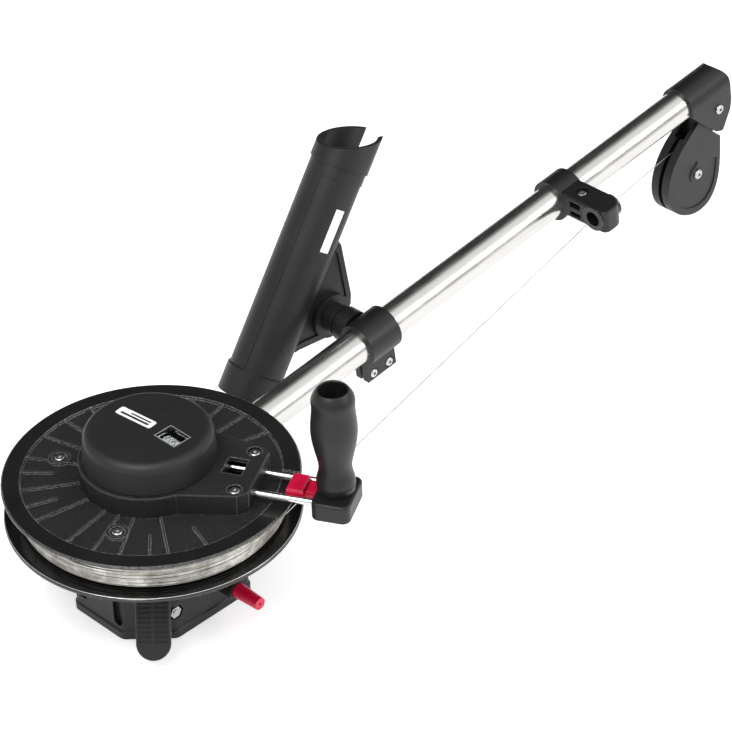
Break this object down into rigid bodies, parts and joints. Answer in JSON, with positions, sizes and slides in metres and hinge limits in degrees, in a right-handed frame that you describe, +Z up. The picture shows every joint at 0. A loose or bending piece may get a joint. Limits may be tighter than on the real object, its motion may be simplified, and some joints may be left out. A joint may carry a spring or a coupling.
{
  "type": "trolling reel",
  "caption": "Manual trolling reel: level wire spool under a crank disc with a line counter, on a frame with a long tube boom, a line guide, an end pulley and a rod holder.",
  "frame": {"origin": "on the spool axis, at the deck face of the mounting plate, in the middle of its four bolt holes", "axes": "+X outboard along the boom, +Y to the left of the boom, +Z up along the spool axis"},
  "size_m": [0.9089, 0.3063, 0.2568],
  "materials": {
    "black_plastic": "moulded, fine matt grain",
    "counter_black": "moulded, matt",
    "gloss_black": "polished",
    "steel_wire": "stranded wire",
    "polished_steel": "polished tube and rod",
    "fastener_steel": "stainless",
    "red_plastic": "satin",
    "clear_lens": "clear",
    "digit_white": "plain",
    "bronze": "sintered bearing metal",
    "lining": "friction material"
  },
  "bodies": {
    "frame": {"main_frame": "black_plastic", "mounting_plate": "black_plastic", "spool_shaft": "fastener_steel", "shaft_nut": "fastener_steel", "thrust_washer": "bronze", "cross_bolt": "fastener_steel", "lever_pin": "fastener_steel", "counter_dome": "counter_black", "window_lens": "clear_lens", "counter_axle": "fastener_steel", "counter_chassis": "fastener_steel", "boom_tube": "polished_steel", "boom_bolts": "fastener_steel", "rod_holder_clamp": "black_plastic", "clamp_screws": "fastener_steel", "line_guide": "black_plastic", "guide_eye_ring": "gloss_black", "guide_screw": "fastener_steel", "wire_eye": "fastener_steel", "tip_hood": "black_plastic", "pulley_pivot_bolt": "fastener_steel", "line_wire": "steel_wire"},
    "spool": {"spool_drum": "black_plastic", "lower_flange": "gloss_black", "wire_pack": "steel_wire", "spool_bushes": "bronze", "brake_ring": "fastener_steel", "clutch_lining": "lining"},
    "crank": {"crank_disc": "black_plastic", "disc_screws": "fastener_steel", "arm_housing": "black_plastic", "arm_screws": "fastener_steel", "crank_sleeve": "bronze", "drive_gear": "digit_white"},
    "handle": {"handle_rods": "polished_steel", "handle_bracket": "black_plastic", "grip_bolt": "fastener_steel"},
    "latch": {"handle_latch": "red_plastic"},
    "grip": {"handle_grip": "black_plastic"},
    "pinion": {"counter_pinion": "digit_white"},
    "units": {"units_wheel": "digit_white"},
    "tens": {"tens_wheel": "digit_white"},
    "hundreds": {"hundreds_wheel": "digit_white"},
    "brake": {"brake_lever": "black_plastic", "brake_pad": "lining"},
    "lock": {"lock_pin": "red_plastic"},
    "holder": {"rod_holder": "black_plastic", "hub_bolt": "fastener_steel"},
    "pulley": {"pulley_cheek_near": "black_plastic", "pulley_cheek_far": "black_plastic", "pulley_head": "black_plastic", "sheave_axle": "fastener_steel"},
    "sheave": {"sheave": "gloss_black", "sheave_bush": "bronze"}
  },
  "joints": [
    {"name": "spool_spin", "type": "hinge", "parent": "frame", "child": "spool", "pos_m": [0, 0, 0.1], "axis": [0, 0, 1], "continuous": true},
    {"name": "crank_spin", "type": "hinge", "parent": "frame", "child": "crank", "pos_m": [0, 0, 0.13], "axis": [0, 0, 1], "continuous": true},
    {"name": "handle_slide", "type": "slide", "parent": "crank", "child": "handle", "axis": [0.4741, -0.8805, 0], "range_m": [0, 0.035]},
    {"name": "latch_slide", "type": "slide", "parent": "handle", "child": "latch", "axis": [0.4741, -0.8805, 0], "range_m": [-0.006, 0], "stiffness_N_per_m": 200, "springref_m": 0.002},
    {"name": "grip_spin", "type": "hinge", "parent": "handle", "child": "grip", "pos_m": [0.07633, -0.14176, 0.15], "axis": [0, 0, 1], "continuous": true},
    {"name": "pinion_spin", "type": "hinge", "parent": "frame", "child": "pinion", "pos_m": [-0.02265, 0, 0.1506], "axis": [0, 0, 1], "continuous": true},
    {"name": "units_spin", "type": "hinge", "parent": "frame", "child": "units", "pos_m": [0.006, -0.0169, 0.1612], "axis": [0, 1, 0], "continuous": true},
    {"name": "tens_spin", "type": "hinge", "parent": "frame", "child": "tens", "pos_m": [0.006, -0.0237, 0.1612], "axis": [0, 1, 0], "continuous": true},
    {"name": "hundreds_spin", "type": "hinge", "parent": "frame", "child": "hundreds", "pos_m": [0.006, -0.0305, 0.1612], "axis": [0, 1, 0], "continuous": true},
    {"name": "brake_lever_press", "type": "hinge", "parent": "frame", "child": "brake", "pos_m": [-0.04243, -0.04243, 0.072], "axis": [0.7071, -0.7071, 0], "range_deg": [0, 8], "stiffness_Nm_per_rad": 2, "springref_deg": -5.73},
    {"name": "lock_pin_pull", "type": "slide", "parent": "frame", "child": "lock", "axis": [0, -1, 0], "range_m": [0, 0.014], "stiffness_N_per_m": 300, "springref_m": -0.005},
    {"name": "rod_holder_tilt", "type": "hinge", "parent": "frame", "child": "holder", "pos_m": [0.29804, 0.095, 0.0948], "axis": [0, 1, 0], "range_deg": [-40, 50]},
    {"name": "pulley_swing", "type": "hinge", "parent": "frame", "child": "pulley", "pos_m": [0.76422, 0.0398, 0.1363], "axis": [0, -1, 0], "range_deg": [0, 55]},
    {"name": "sheave_spin", "type": "hinge", "parent": "pulley", "child": "sheave", "pos_m": [0.745, 0.0398, 0.0675], "axis": [0, 1, 0], "continuous": true}
  ],
  "couplings": [
    {"joint": "crank_spin", "follows": "spool_spin", "ratio": 1},
    {"joint": "pinion_spin", "follows": "spool_spin", "ratio": -2},
    {"joint": "units_spin", "follows": "spool_spin", "ratio": 0.2},
    {"joint": "tens_spin", "follows": "spool_spin", "ratio": 0.02},
    {"joint": "hundreds_spin", "follows": "spool_spin", "ratio": 0.002}
  ]
}
